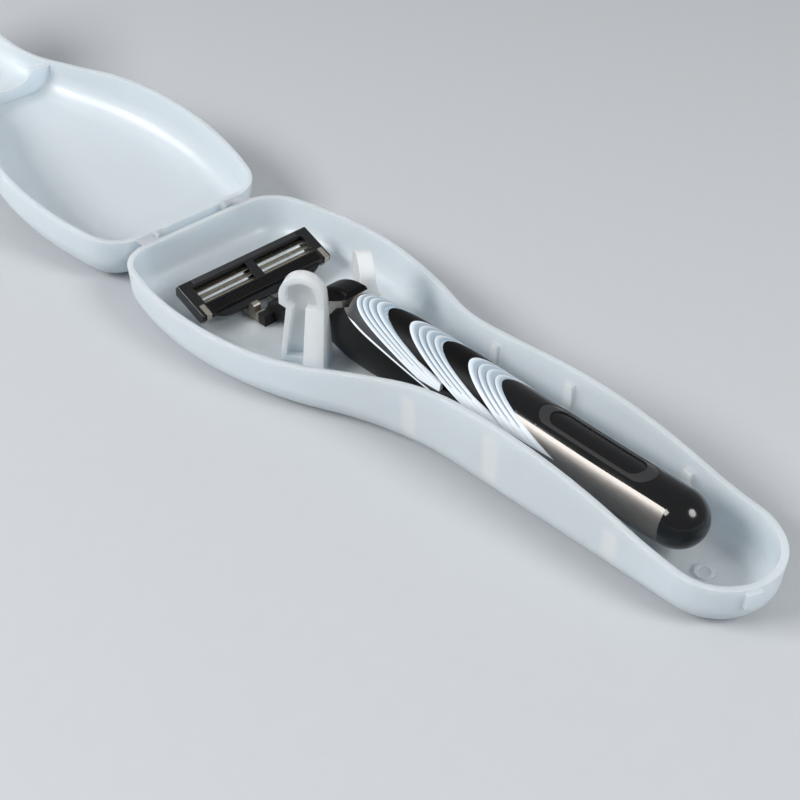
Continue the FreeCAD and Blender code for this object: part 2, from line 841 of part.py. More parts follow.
def cartridge_profile(grow):
    """Rounded outline of the cartridge seen from its end."""
    u = cartridge_half_depth + grow
    low = cartridge_back_w - grow
    high = cartridge_face_w + grow
    corners = [V(-u + 0.7, 0, low), V(u - 0.9, 0, low), V(u, 0, high - 1.6), V(u - 0.4, 0, high),
               V(-u + 0.6, 0, high), V(-u, 0, high - 1.4)]
    wire = Part.makePolygon(corners + corners[:1])
    return Part.Face(wire)


def across(face, y0, y1):
    """Stretch an end outline from y0 to y1."""
    shape = face.extrude(V(0, y1 - y0, 0))
    shape.translate(V(0, y0, 0))
    return shape


def cartridge_housing():
    """Black frame with two windows, a centre bridge, pivot ears and the cam lug."""
    half = cartridge_half_width
    block = across(cartridge_profile(0.0), -half, half)
    long_edges = [e for e in block.Edges if e.BoundBox.YLength > 2.0 * half - 0.1]
    ends = [e for e in block.Edges if e.BoundBox.YLength < 0.1]
    block = block.makeFillet(0.45, long_edges + ends)
    lip = box(lip_u - lip_round - 1.0, lip_u, -lip_half, lip_half, lip_low_w, lip_high_w)
    lip = lip.makeFillet(lip_round, [
        e for e in lip.Edges if e.BoundBox.ZLength > 0.1 and e.BoundBox.XMin > lip_u - 0.1
    ])
    block = block.fuse(lip)
    window = box(window_back_u, window_front_u, -window_half, window_half, -9, 9)
    bridge = box(window_back_u - 0.15, window_front_u + 0.15, -bridge_half, bridge_half,
                 cartridge_face_w - bridge_thick, cartridge_face_w)
    spine = box(window_back_u - 0.5, window_front_u + 0.5, -bridge_half, bridge_half,
                cartridge_back_w, cartridge_back_w + spine_thick)
    c = insert_clearance
    strip_seat = box(strip_back_u - c, strip_front_u + c, -lube_half - c, lube_half + c, lube_low_w, 9)
    guard_seat = box(guard_back_u - c, guard_front_u + c, -window_half - c, window_half + c, guard_low_w, 9)
    reach = arm_y + arm_thick + recess_play
    recess = box(recess_u, 20, -reach, reach, -20, recess_w)
    frame = block.cut(Part.makeCompound([window, strip_seat, guard_seat])).cut(recess)
    axis = V(pivot_u, 0, pivot_w)
    root = V(pivot_u, 0, cartridge_back_w + 0.6)
    ear_y = arm_y + arm_thick + ear_gap
    ears = []
    for y0, y1 in ((ear_y, ear_y + ear_thick), (-ear_y - ear_thick, -ear_y)):
        ears.append(capsule_y(axis, root, ear_radius, y0, y1).cut(window))
    turn = math.radians(cartridge_tilt)
    lug_end = V(pivot_u + lug_drop * math.sin(turn), 0, pivot_w - lug_drop * math.cos(turn))
    lug = capsule_y(axis, lug_end, lug_radius, -lug_half, lug_half)
    stem_top = V(pivot_u, 0, cartridge_back_w + spine_thick - lug_radius - 0.05)
    stem = capsule_y(axis, stem_top, lug_radius, -lug_half, lug_half)
    solid = fuse([frame, bridge, spine, lug, stem] + ears)
    hole_start = V(pivot_u, -ear_y - 5, pivot_w)
    hole = rod(pivot_pin_radius + pivot_clearance, hole_start, V(pivot_u, -ear_y + 0.1, pivot_w))
    solid = solid.cut(hole).cut(mirrored(hole))
    return in_cartridge(solid)


def blade(index):
    """Edge strip on its bent support."""
    u = blade_leg_u + blade_pitch * index
    t = blade_sheet
    tip_u = u + blade_reach
    tip_w = blade_bend_w + blade_rise
    points = [(u, blade_leg_low_w), (u + t, blade_leg_low_w), (u + t, blade_bend_w - 0.1),
              (tip_u, tip_w - 0.05), (tip_u - 0.15, tip_w + 0.12), (u, blade_bend_w + 0.2)]
    return in_cartridge(polygon_y(points, -window_half, window_half))


def lubricating_strip():
    """Strip set into the cap edge, with a rounded top."""
    strip = box(strip_back_u, strip_front_u, -lube_half, lube_half, lube_low_w, lube_high_w)
    top = [e for e in strip.Edges if e.BoundBox.ZMin > lube_high_w - 0.01]
    return in_cartridge(strip.makeFillet(0.3, top))


def guard_fins():
    """Rubber guard with thin fins along it."""
    base = box(guard_back_u, guard_front_u, -window_half, window_half, guard_low_w, guard_base_w)
    pitch = (guard_front_u - guard_back_u - guard_fin_thick) / (guard_fins_count - 1)
    fins = []
    for k in range(guard_fins_count):
        u = guard_back_u + pitch * k
        fins.append(box(u, u + guard_fin_thick, -window_half, window_half,
                        guard_base_w - 0.1, guard_high_w))
    return in_cartridge(fuse([base] + fins))


def end_clip(sign):
    """Metal clip round the guard edge at one end of the cartridge."""
    y0, y1 = sorted((sign * clip_start_y, sign * (clip_start_y + clip_width)))
    band = across(cartridge_profile(clip_thick), y0, y1)
    band = band.cut(across(cartridge_profile(0.0), y0 - 1, y1 + 1))
    return in_cartridge(band.common(box(clip_back_u, 20, -40, 40, -9, 9)))


def yoke():
    """Connector with a socket for the neck, two arms and the pivot stubs."""
    block = box(-neck_length - yoke_length, -neck_length - seat_clearance,
                -yoke_half_width, yoke_half_width, -yoke_half_thick, yoke_half_thick)
    block = block.makeFillet(yoke_round, [e for e in block.Edges if e.BoundBox.ZMin > 0])
    socket = box(
        -neck_length - tip_length - seat_clearance, 0, -tip_half_width - seat_clearance,
        tip_half_width + seat_clearance, -tip_half_thick - seat_clearance, tip_half_thick + seat_clearance,
    )
    reach = arm_y + arm_thick
    pieces = [in_neck(block)]
    pieces.append(box(cross_front_x, cross_back_x, -reach, reach, cross_low_z, cross_high_z))
    knee = V(arm_knee_x, 0, arm_knee_z)
    end = V(arm_end_x, 0, arm_knee_z + 0.1)
    for y0, y1 in ((arm_y, reach), (-reach, -arm_y)):
        pieces.append(capsule_y(pivot, knee, arm_radius, y0, y1))
        pieces.append(capsule_y(knee, end, arm_low_radius, y0, y1))
        hook_foot = V(hook_x, 0, arm_knee_z)
        pieces.append(capsule_y(hook_foot, V(hook_x, 0, hook_top_z), hook_radius, y0, y1))
    for sign in (-1, 1):
        stub_start = V(pivot.x, sign * (reach - 0.5), pivot.z)
        stub_end = V(pivot.x, sign * (reach + ear_gap + ear_thick), pivot.z)
        pieces.append(rod(pivot_pin_radius, stub_start, stub_end))
    rod_z = pivot.z - lug_drop
    pieces.append(rod(plunger_boss_radius, V(plunger_boss_x, 0, rod_z), V(cross_front_x + 1, 0, rod_z)))
    solid = fuse(pieces).cut(in_neck(socket))
    pin_end = V(plunger_end_x, 0, rod_z)
    bore = rod(plunger_radius + plunger_clearance, V(plunger_boss_x - 2, 0, rod_z), pin_end)
    chamber_start = V(plunger_end_x - 1.0, 0, rod_z)
    chamber = rod(plunger_bore_radius, chamber_start, V(plunger_spring_end_x, 0, rod_z))
    return solid.cut(bore).cut(chamber)


def plunger():
    """Round-nosed pin that bears on the cam lug."""
    rod_z = pivot.z - lug_drop
    nose_x = pivot.x + lug_radius + plunger_lug_gap
    bevel = plunger_radius * 0.4
    pin = rod(plunger_radius, V(nose_x + bevel, 0, rod_z), V(plunger_end_x, 0, rod_z))
    nose = Part.makeCone(plunger_radius - bevel, plunger_radius, bevel, V(nose_x, 0, rod_z), V(1, 0, 0))
    return fuse([pin, nose])


def plunger_spring():
    """Spring behind the plunger, plain because it is sealed in."""
    rod_z = pivot.z - lug_drop
    start = V(plunger_end_x, 0, rod_z)
    end = V(plunger_spring_end_x, 0, rod_z)
    hole = rod(plunger_spring_radius - spring_wire, start - V(1, 0, 0), end + V(1, 0, 0))
    return rod(plunger_spring_radius, start, end).cut(hole)


def save(name, shape):
    """Move a finished piece to the shared origin and write it."""
    solid = shape.Solids[0] if len(shape.Solids) == 1 else shape
    solid = solid.copy()
    solid.translate(V(-origin_x, 0, 0))
    print(name, len(shape.Solids), solid.isValid(), round(solid.Volume, 2))
    solid.exportStep("parts/" + name + ".step")


def main():
    """Build and write every piece."""
    pieces = {
        "base_tray": base_tray(),
        "lid": lid(),
        "neck": neck(),
        "release_button": release_button(),
        "ejector": ejector(),
        "button_spring": button_spring(),
        "end_cap": end_cap(),
        "cartridge_housing": cartridge_housing(),
        "blade_cap_side": blade(0),
        "blade_middle": blade(1),
        "blade_guard_side": blade(2),
        "lubricating_strip": lubricating_strip(),
        "guard_fins": guard_fins(),
        "end_clip_near": end_clip(-1),
        "end_clip_far": end_clip(1),
        "yoke": yoke(),
        "plunger": plunger(),
        "plunger_spring": plunger_spring(),
    }
    pieces.update(handle_parts())
    for name, shape in pieces.items():
        save(name, shape)


main()
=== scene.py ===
import math

import bmesh
import bpy
from mathutils import Matrix, Vector


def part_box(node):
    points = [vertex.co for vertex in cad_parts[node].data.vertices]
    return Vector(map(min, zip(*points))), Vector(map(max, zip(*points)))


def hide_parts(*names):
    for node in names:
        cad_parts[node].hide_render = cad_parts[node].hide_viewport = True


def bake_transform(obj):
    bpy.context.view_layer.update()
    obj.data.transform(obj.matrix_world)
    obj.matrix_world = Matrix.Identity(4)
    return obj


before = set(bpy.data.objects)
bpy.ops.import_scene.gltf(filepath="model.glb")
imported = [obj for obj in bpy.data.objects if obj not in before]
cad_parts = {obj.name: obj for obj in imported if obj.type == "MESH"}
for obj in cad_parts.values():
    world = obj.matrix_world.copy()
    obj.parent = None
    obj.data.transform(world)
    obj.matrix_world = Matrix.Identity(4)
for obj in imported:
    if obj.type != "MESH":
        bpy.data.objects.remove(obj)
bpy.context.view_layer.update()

bl_info = {
    "name": "Razor case dresser",
    "version": (1, 0, 0),
    "blender": (4, 5, 0),
    "location": "View3D > Sidebar > Razor case",
    "description": "Gives the razor case and the razor in it their finishes, hinge films, stage and camera",
    "category": "Object",
}

# Where the handle's pieces lie, in metres in the shared frame
ORIGIN_SHIFT = 0.0879
HINGE_X = -0.0879
HINGE_Z = 0.0125
BADGE_X = 0.132 - ORIGIN_SHIFT
BADGE_FIELD_RUN = 0.0091
BADGE_FIELD_HALF = 0.0025
PIPING_START = 0.0414 - ORIGIN_SHIFT
PIPING_SLOPE = math.radians(9.6)
GRIP_TOP_Z = 0.0203
BANDS = {
    "front": (0.0597 - ORIGIN_SHIFT, 14.0, 0.0725 - ORIGIN_SHIFT, 13.9),
    "middle": (0.0804 - ORIGIN_SHIFT, 19.0, 0.089 - ORIGIN_SHIFT, 16.4),
    "rear": (0.0963 - ORIGIN_SHIFT, 22.6, 0.1032 - ORIGIN_SHIFT, 17.4),
}
RIDGES_PER_BAND = 4.0
NECK_SLOPE = math.radians(26.0)
BUTTON_SPRING_LENGTH = 0.005
PLUNGER_SPRING_LENGTH = 0.0027
# Places of the tray's ribs and posts, and the fades of the painted glow over them
RIB_PLACES = ((0.0056, 0.0146), (0.0276, 0.0165), (0.0586, 0.012))
RIB_SOLE_Z = 0.0045
RIB_SIDE_Y = 0.0105
RIB_SIDE_FADE = 0.0003
RIB_SOLE_FADE = (-0.002, 0.003)
RIB_WIDTH_FADE = (0.0027, 0.0006)
RIB_TOP_FADE = (0.0014, -0.001)
POST_X = 0.0545 - ORIGIN_SHIFT
POST_RUN_FADE = (0.0105, 0.0085)
POST_SIDE_FADE = (0.0175, 0.0155)
POST_RISE_FADE = (0.003, 0.007)
# Height over which the painted shade on the grip bands grows greyer
BAND_TOP_SHADE_FADE = (0.0135, 0.0195)
STRIP_TO_NECK_FADE = (-0.0225, -0.0285)
ARM_SIDE_FADE = (0.0057, 0.0059)
ARM_BACK_FADE = (-0.0522, -0.0528)
SOFT_EDGE = 0.0001

# Hinge films and springs
FILM_REACH = 0.0018
FILM_DROP = 0.0002
FILM_LEAN = math.tan(math.radians(10.0))
FILM_STEPS = 14
COIL_STEPS = 20
WIRE_SIDES = 8
BUTTON_SPRING_TURNS = 5
PLUNGER_SPRING_TURNS = 4

# Tints of pieces that are hidden or lie in the shade
CORE_TINT = (0.5, 0.49, 0.47)
PIN_TINT = (0.62, 0.61, 0.58)
EJECTOR_TINT = (0.012, 0.012, 0.0125)
CARTRIDGE_TINT = (0.008, 0.008, 0.0085)
GUARD_TINT = (0.012, 0.012, 0.0125)
LUBRICATING_TINT = (0.03, 0.031, 0.033)

# Stage, in metres in the shared frame
FLOOR_HALF = 4.0
FLOOR_DROP = 0.0002
SKY_TINT = (0.93, 0.96, 1.0)
LAMP_AIM = (0.0, 0.0, 0.01)
KEY_SIZE = (0.6, 0.28)
KEY_PLACE = (-0.37, -0.665, 0.57)
SIDE_SIZE = (0.4, 0.4)
SIDE_PLACE = (0.72, 0.16, 0.64)
SENSOR_WIDTH = 36.0
CAMERA_BACK = (0.5668, -0.5459, 0.617)
CAMERA_RIGHT = (0.6951, 0.7189, -0.0023)


class Sock:
    """A shader socket that stands in a Python expression."""

    def __init__(self, finish, socket):
        self.finish = finish
        self.socket = socket

    def _math(self, operation, first, second):
        return self.finish.node("ShaderNodeMath", {"operation": operation}, {0: first, 1: second})

    def __add__(self, other):
        return self._math("ADD", self, other)

    def __radd__(self, other):
        return self._math("ADD", other, self)

    def __sub__(self, other):
        return self._math("SUBTRACT", self, other)

    def __rsub__(self, other):
        return self._math("SUBTRACT", other, self)

    def __mul__(self, other):
        return self._math("MULTIPLY", self, other)

    def __rmul__(self, other):
        return self._math("MULTIPLY", other, self)

    def __truediv__(self, other):
        return self._math("DIVIDE", self, other)

    def __pow__(self, other):
        return self._math("POWER", self, other)


class Finish:
    """One procedural material: its shader and the nodes that vary it over the surface."""

    def __init__(self, name, **constants):
        self.material = bpy.data.materials.new(name)
        self.material.use_nodes = True
        self.tree = self.material.node_tree
        self.tree.nodes.clear()
        self.shader = self.tree.nodes.new("ShaderNodeBsdfPrincipled")
        output = self.tree.nodes.new("ShaderNodeOutputMaterial")
        self.tree.links.new(self.shader.outputs[0], output.inputs["Surface"])
        for socket, value in constants.items():
            self.shader.inputs[socket.replace("_", " ")].default_value = value
        self.place = self.node("ShaderNodeTexCoord", {}, {}, "Object")

    def feed(self, socket, value):
        """Link a socket to another, or set its value."""
        if isinstance(value, Sock):
            self.tree.links.new(value.socket, socket)
        else:
            socket.default_value = value

    def node(self, kind, settings, inputs, output=0):
        """Add a node: its settings first, then the values or links of its sockets."""
        made = self.tree.nodes.new(kind)
        for key, value in settings.items():
            setattr(made, key, value)
        for key, value in inputs.items():
            self.feed(made.inputs[key], value)
        return Sock(self, made.outputs[output])

    def axis(self, index):
        """One coordinate of the surface point, in metres."""
        return self.node("ShaderNodeSeparateXYZ", {}, {0: self.place}, index)

    def noise(self, scale, detail=2.0, stretch=(1.0, 1.0, 1.0)):
        """Smooth random value between 0 and 1, stretched along the axes."""
        where = self.node("ShaderNodeMapping", {}, {"Vector": self.place, "Scale": stretch})
        return self.node(
            "ShaderNodeTexNoise", {"noise_dimensions": "3D"},
            {"Vector": where, "Scale": scale, "Detail": detail, "Roughness": 0.55},
        )

    def absolute(self, value):
        """Value without its sign."""
        return self.node("ShaderNodeMath", {"operation": "ABSOLUTE"}, {0: value})

    def ramp(self, value, low, high):
        """Value carried from low and high to 0 and 1."""
        return self.node(
            "ShaderNodeMapRange", {"interpolation_type": "SMOOTHSTEP", "clamp": True},
            {"Value": value, "From Min": low, "From Max": high},
        )

    def mix(self, factor, first, second):
        """Blend of two colours."""
        return self.node(
            "ShaderNodeMix", {"data_type": "RGBA", "clamp_factor": True}, {0: factor, 6: first, 7: second}, 2,
        )

    def set(self, socket, value):
        """Feed one of the shader's own sockets."""
        self.feed(self.shader.inputs[socket], value)

    def relief(self, height, strength, depth):
        """Bump from a height between 0 and 1."""
        bump = self.node("ShaderNodeBump", {}, {"Strength": strength, "Distance": depth, "Height": height})
        self.set("Normal", bump)

    def wear(self, names):
        """Give this finish to CAD nodes."""
        for name in names:
            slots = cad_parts[name].data.materials
            slots.clear()
            slots.append(self.material)


def rgba(colour, shade=1.0):
    """Colour with full alpha, made lighter or darker."""
    return (colour[0] * shade, colour[1] * shade, colour[2] * shade, 1.0)


def frosted_plastic(name, look):
    """Milky translucent moulded plastic with flow clouds and a fine frost."""
    made = Finish(
        name, IOR=1.49, Transmission_Weight=look.clearness, Subsurface_Weight=look.milkiness,
        Subsurface_Radius=(0.9, 1.0, 1.1), Subsurface_Scale=0.004, Specular_IOR_Level=0.35,
    )
    clouds = made.noise(38.0, 3.0)
    frost = made.noise(2400.0, 2.0)
    made.thin = made.mix(clouds, rgba(look.plastic, 0.97), rgba(look.plastic, 1.0))
    made.set("Base Color", made.thin)
    made.set("Roughness", look.frost + 0.08 * clouds + 0.05 * frost)
    made.relief(frost, 0.12, 0.00006)
    return made


def tray_plastic(look):
    """Frosted plastic with a painted glow: whiter where ribs and posts thicken the wall, standing in for
    light that scatters in the thicker plastic.
    """
    made = frosted_plastic("tray_plastic", look)
    x, z = made.axis("X"), made.axis("Z")
    aside = made.absolute(made.axis("Y"))
    wall = made.ramp(aside, RIB_SIDE_Y - RIB_SIDE_FADE, RIB_SIDE_Y + RIB_SIDE_FADE)
    wall = wall * made.ramp(z, RIB_SOLE_Z + RIB_SOLE_FADE[0], RIB_SOLE_Z + RIB_SOLE_FADE[1])
    # Painted glow over the ribs: bands of the wall mixed towards the whiter tint
    thick_glow = 0.0
    for rib_x, rib_top in RIB_PLACES:
        band = made.ramp(made.absolute(x - rib_x), *RIB_WIDTH_FADE)
        thick_glow = band * made.ramp(z, rib_top + RIB_TOP_FADE[0], rib_top + RIB_TOP_FADE[1]) + thick_glow
    # Painted glow over the posts in the same way
    post_glow = made.ramp(made.absolute(x - POST_X), *POST_RUN_FADE) * made.ramp(aside, *POST_SIDE_FADE)
    post_glow = post_glow * made.ramp(z, *POST_RISE_FADE)
    made.set("Base Color", made.mix(wall * thick_glow + post_glow, made.thin, rgba(look.thick_glow)))
    return made


def gloss(name, tint, smudge):
    """Polished black plastic with faint smudges."""
    made = Finish(name, IOR=1.5, Coat_Roughness=0.04, Specular_IOR_Level=0.3)
    smears = made.noise(120.0, 4.0, (1.0, 1.6, 1.0))
    dust = made.noise(5200.0, 1.0)
    made.set("Base Color", made.mix(smears, rgba(tint, 0.8), rgba(tint, 1.3)))
    made.set("Roughness", 0.1 + smudge * made.ramp(smears, 0.45, 0.75))
    made.set("Coat Weight", 0.16 - 0.08 * smears)
    made.relief(dust, 0.04, 0.00002)
    return made


def matte(name, tint, rough):
    """Fine-textured moulded black plastic."""
    made = Finish(name, IOR=1.48, Specular_IOR_Level=0.1)
    grain = made.noise(3800.0, 2.0)
    patches = made.noise(160.0, 2.0)
    made.set("Base Color", made.mix(patches, rgba(tint, 0.8), rgba(tint, 1.25)))
    made.set("Roughness", rough + 0.14 * grain)
    made.relief(grain, 0.18, 0.00005)
    return made


def pale_grip(name, look):
    """Soft pale elastomer with a stippled skin."""
    made = Finish(name, IOR=1.46, Subsurface_Weight=0.15, Subsurface_Radius=(1.0, 1.0, 1.0),
                  Subsurface_Scale=0.0006)
    stipple = made.noise(2900.0, 2.0)
    made.set("Base Color", made.mix(stipple, rgba(look.pale, 0.97), rgba(look.pale, 1.0)))
    made.set("Roughness", 0.46 + 0.12 * stipple)
    made.relief(stipple, 0.2, 0.00006)
    return made


def band_grip(name, look):
    """Pale elastomer of one band with painted shade: greyer towards the top and towards the back of each
    ridge, standing in for the ridges' relief shading.
    """
    made = pale_grip("pale_" + name, look)
    front, steep, back, slope = BANDS[name]
    x, z = made.axis("X"), made.axis("Z")
    fall = GRIP_TOP_Z - z
    start = front + fall * (1.0 / math.tan(math.radians(steep)))
    end = back + fall * (1.0 / math.tan(math.radians(slope)))
    ridge = made.node("ShaderNodeMath", {"operation": "FRACT"},
                      {0: RIDGES_PER_BAND * ((x - start) / (end - start))})
    # Painted shade: greyer towards the top and towards the back of each ridge
    high = made.ramp(z, *BAND_TOP_SHADE_FADE)
    grey = (0.25 + 0.75 * high) * made.ramp(ridge, 0.05, 0.95)
    made.set("Base Color", made.mix(0.3 * high + 0.7 * grey, rgba(look.pale), rgba(look.pale_top_shade)))
    return made


def brushed(name, tint, rough, direction, lines=2600.0):
    """Metal with fine brush lines along one direction."""
    made = Finish(name, IOR=2.2, Metallic=1.0)
    strokes = made.noise(lines, 3.0, direction)
    broad = made.noise(90.0, 2.0)
    made.set("Base Color", made.mix(strokes, rgba(tint, 0.82), rgba(tint, 1.12)))
    made.set("Roughness", rough + 0.12 * strokes + 0.06 * broad)
    made.relief(strokes, 0.08, 0.00002)
    return made


def gunmetal(look):
    """Lacquered dark metal of the handle's rear casing."""
    made = Finish("gunmetal", IOR=1.6, Metallic=0.85, Coat_Roughness=0.08)
    strokes = made.noise(2100.0, 3.0, (0.03, 1.0, 1.0))
    broad = made.noise(70.0, 2.0)
    made.set("Base Color", made.mix(strokes, rgba(look.gunmetal, 0.85), rgba(look.gunmetal, 1.15)))
    made.set("Roughness", 0.36 + 0.1 * strokes)
    made.set("Coat Weight", 0.1 + 0.1 * broad)
    made.relief(strokes, 0.05, 0.00002)
    return made


def nose_finish(look):
    """Black belly under the piping, dark grey metal look above it that brightens towards the neck."""
    made = Finish("nose_cover", IOR=1.5, Specular_IOR_Level=0.2)
    grain = made.noise(3000.0, 2.0)
    line = made.axis("Z") * math.cos(PIPING_SLOPE) + made.axis("X") * math.sin(PIPING_SLOPE)
    edge = GRIP_TOP_Z * math.cos(PIPING_SLOPE) + PIPING_START * math.sin(PIPING_SLOPE)
    above = made.ramp(line, edge - SOFT_EDGE, edge + SOFT_EDGE)
    near_neck = made.ramp(made.axis("X"), *STRIP_TO_NECK_FADE)
    strip = made.mix(near_neck, rgba(look.strip_grey), rgba(look.neck))
    made.set("Base Color", made.mix(above, rgba(look.black), strip))
    made.set("Metallic", above * (0.2 + 0.8 * near_neck))
    made.set("Roughness", 0.42 - 0.1 * above + 0.12 * grain)
    made.relief(grain, 0.1, 0.00004)
    return made


def badge_finish(look):
    """Round-ended plate left bare: a smooth dark field inside a grey metal border."""
    made = Finish("badge_plate", IOR=1.5, Coat_Roughness=0.05, Specular_IOR_Level=0.3)
    across = made.axis("Y")
    along = made.absolute(made.axis("X") - BADGE_X)
    past = made.node("ShaderNodeMath", {"operation": "MAXIMUM"}, {0: along - BADGE_FIELD_RUN, 1: 0.0})
    out = (past * past + across * across) ** 0.5
    ring = made.ramp(out, BADGE_FIELD_HALF - SOFT_EDGE, BADGE_FIELD_HALF + SOFT_EDGE)
    grain = made.noise(2600.0, 2.0)
    made.set("Base Color", made.mix(ring, rgba(look.black, 0.8), rgba(look.border)))
    made.set("Metallic", 0.8 * ring)
    made.set("Roughness", 0.2 + 0.12 * grain)
    made.set("Coat Weight", 0.1 * (1.0 - ring))
    made.relief(grain, 0.06, 0.00003)
    return made


def blade_steel(look):
    """Ground and honed blade steel with spot welds along the support."""
    made = Finish("blade_steel", IOR=2.4, Metallic=1.0)
    lines = made.noise(3400.0, 2.0, (1.0, 0.06, 1.0))
    spots = made.node("ShaderNodeTexWave", {"wave_type": "BANDS", "bands_direction": "Y"},
                      {"Vector": made.place, "Scale": 105.0, "Distortion": 0.0}, "Fac")
    weld = made.ramp(spots, 0.9, 0.98)
    made.set("Base Color", made.mix(0.3 * weld, rgba(look.steel), rgba(look.steel, 0.6)))
    made.set("Roughness", 0.24 + 0.08 * lines + 0.06 * weld)
    made.relief(lines, 0.02, 0.00002)
    return made


def yoke_finish(look):
    """Matte black connector whose two arms are satin metal."""
    made = Finish("yoke", IOR=1.5, Specular_IOR_Level=0.3)
    aside = made.absolute(made.axis("Y"))
    arm = made.ramp(aside, *ARM_SIDE_FADE) * made.ramp(made.axis("X"), *ARM_BACK_FADE)
    grain = made.noise(3200.0, 2.0)
    made.set("Base Color", made.mix(arm, rgba(look.black, 1.4), rgba(look.steel, 0.75)))
    made.set("Metallic", arm)
    made.set("Roughness", 0.42 - 0.16 * arm + 0.12 * grain)
    made.relief(grain, 0.12, 0.00004)
    return made


class CaseLook(bpy.types.PropertyGroup):
    """Looks and sizes of the case."""

    plastic: bpy.props.FloatVectorProperty(
        name="Plastic", description="Tint of the frosted plastic", subtype="COLOR", size=3,
        min=0.0, max=1.0, default=(0.775, 0.85, 0.905))
    # Tint of the painted glow where ribs and posts thicken the wall, standing in for light scattered in the
    # thicker plastic
    thick_glow: bpy.props.FloatVectorProperty(
        name="Thick plastic", description="Tint where ribs and posts thicken the wall", subtype="COLOR",
        size=3, min=0.0, max=1.0, default=(0.895, 0.94, 0.965))
    clearness: bpy.props.FloatProperty(
        name="Clearness", description="Share of light that passes through", subtype="FACTOR",
        min=0.0, max=1.0, default=0.46)
    milkiness: bpy.props.FloatProperty(
        name="Milkiness", description="Share of light that scatters inside", subtype="FACTOR",
        min=0.0, max=1.0, default=0.8)
    frost: bpy.props.FloatProperty(
        name="Frost", description="Roughness of the moulded surface", subtype="FACTOR",
        min=0.0, max=1.0, default=0.3)
    film_start: bpy.props.FloatProperty(
        name="Film start", description="Distance of a hinge film's inner edge from the middle",
        subtype="DISTANCE", unit="LENGTH", default=0.01195)
    film_width: bpy.props.FloatProperty(
        name="Film width", description="Width of one hinge film", subtype="DISTANCE", unit="LENGTH",
        default=0.0046)
    film_thickness: bpy.props.FloatProperty(
        name="Film thickness", description="Thickness of the hinge film", subtype="DISTANCE",
        unit="LENGTH", default=0.0003)


class RazorLook(bpy.types.PropertyGroup):
    """Colours of the razor."""

    black: bpy.props.FloatVectorProperty(
        name="Black", description="Gloss and matte black parts", subtype="COLOR", size=3,
        min=0.0, max=1.0, default=(0.003, 0.003, 0.0032))
    pale: bpy.props.FloatVectorProperty(
        name="Pale grip", description="Grip bands on the sides", subtype="COLOR", size=3,
        min=0.0, max=1.0, default=(0.78, 0.815, 0.84))
    # Shaded tint painted towards the top of the bands and the back of each ridge, standing in for relief
    # shading
    pale_top_shade: bpy.props.FloatVectorProperty(
        name="Pale grip top", description="Grip bands along the top", subtype="COLOR", size=3,
        min=0.0, max=1.0, default=(0.23, 0.295, 0.35))
    gunmetal: bpy.props.FloatVectorProperty(
        name="Gunmetal", description="Rear casing", subtype="COLOR", size=3,
        min=0.0, max=1.0, default=(0.15, 0.138, 0.128))
    strip_grey: bpy.props.FloatVectorProperty(
        name="Strip grey", description="Dark strip ahead of the first band", subtype="COLOR", size=3,
        min=0.0, max=1.0, default=(0.045, 0.049, 0.053))
    neck: bpy.props.FloatVectorProperty(
        name="Neck metal", description="Metal of the neck", subtype="COLOR", size=3,
        min=0.0, max=1.0, default=(0.44, 0.41, 0.375))
    steel: bpy.props.FloatVectorProperty(
        name="Blade steel", description="Blades and end clips", subtype="COLOR", size=3,
        min=0.0, max=1.0, default=(0.56, 0.525, 0.45))
    border: bpy.props.FloatVectorProperty(
        name="Badge border", description="Thin border of the oval plate", subtype="COLOR", size=3,
        min=0.0, max=1.0, default=(0.07, 0.07, 0.07))
    spring_wire: bpy.props.FloatProperty(
        name="Spring wire", description="Thickness of the springs' wire", subtype="DISTANCE", unit="LENGTH",
        default=0.0002)
    spring_radius: bpy.props.FloatProperty(
        name="Spring radius", description="Middle radius of the springs' turns", subtype="DISTANCE",
        unit="LENGTH", default=0.00045)


class StageLook(bpy.types.PropertyGroup):
    """Floor, lights and camera."""

    floor: bpy.props.FloatVectorProperty(
        name="Floor", description="Colour of the floor", subtype="COLOR", size=3,
        min=0.0, max=1.0, default=(0.43, 0.445, 0.46))
    sky: bpy.props.FloatProperty(
        name="Sky", description="Strength of the light from all round", min=0.0, max=2.0, default=0.46)
    key: bpy.props.FloatProperty(
        name="Key", description="Power of the main soft box", subtype="POWER", unit="POWER",
        min=0.0, max=50.0, default=9.4)
    side: bpy.props.FloatProperty(
        name="Side", description="Power of the round lamp beyond the tail", subtype="POWER", unit="POWER",
        min=0.0, max=50.0, default=5.8)
    lens: bpy.props.FloatProperty(
        name="Lens", description="Focal length of the camera", subtype="DISTANCE_CAMERA",
        unit="CAMERA", min=10.0, max=200.0, default=58.7)
    eye: bpy.props.FloatVectorProperty(
        name="Eye", description="Where the camera stands", subtype="XYZ", unit="LENGTH", size=3,
        default=(0.15852, -0.16396, 0.18182))


def hinge_film(name, start, look):
    """Thin moulded strip beside the knuckles, flat on one side of the hinge line and rising at a slant on the
    other.
    """
    mesh = bmesh.new()
    rows = []
    for k in range(FILM_STEPS + 1):
        x = FILM_REACH - 2.0 * FILM_REACH * k / FILM_STEPS
        top = HINGE_Z - FILM_DROP + FILM_LEAN * max(-x, 0.0)
        row = []
        for y, z in (
            (start, 0.0), (start + look.film_width, 0.0),
            (start + look.film_width, -look.film_thickness), (start, -look.film_thickness),
        ):
            row.append(mesh.verts.new((HINGE_X + x, y, top + z)))
        rows.append(row)
    for first, second in zip(rows, rows[1:]):
        for j in range(4):
            mesh.faces.new((first[j], first[(j + 1) % 4], second[(j + 1) % 4], second[j]))
    mesh.faces.new(rows[0][::-1])
    mesh.faces.new(rows[-1])
    bmesh.ops.recalc_face_normals(mesh, faces=mesh.faces)
    data = bpy.data.meshes.new(name)
    mesh.to_mesh(data)
    mesh.free()
    film = bpy.data.objects.new(name, data)
    bpy.context.scene.collection.objects.link(film)
    film.data.materials.append(bpy.data.materials["lid_plastic"])
    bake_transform(film)


